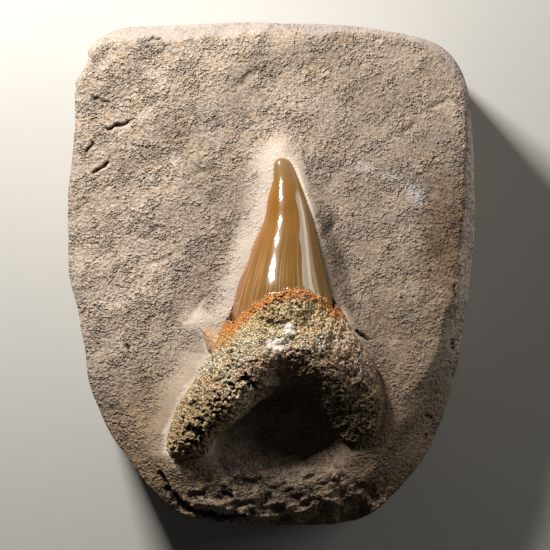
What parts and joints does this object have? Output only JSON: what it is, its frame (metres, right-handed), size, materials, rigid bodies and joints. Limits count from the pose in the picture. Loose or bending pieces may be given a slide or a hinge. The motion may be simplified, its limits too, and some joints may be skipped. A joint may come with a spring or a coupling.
{
  "type": "fossil shark tooth in matrix",
  "caption": "Fossil shark tooth with a glossy tapered crown and a porous two-lobed root, half buried in its own shield-shaped block of sandy limestone.",
  "frame": {"origin": "middle of the block's flat back, which the part lies on", "axes": "+X to the right of the worked face, +Y along the block towards the tooth's point, +Z out of the worked face"},
  "size_m": [0.082, 0.101, 0.0407],
  "materials": {
    "limestone": "matte",
    "tooth": "satin"
  },
  "bodies": {
    "root": {"matrix_block": "limestone", "tooth": "tooth"}
  },
  "joints": []
}
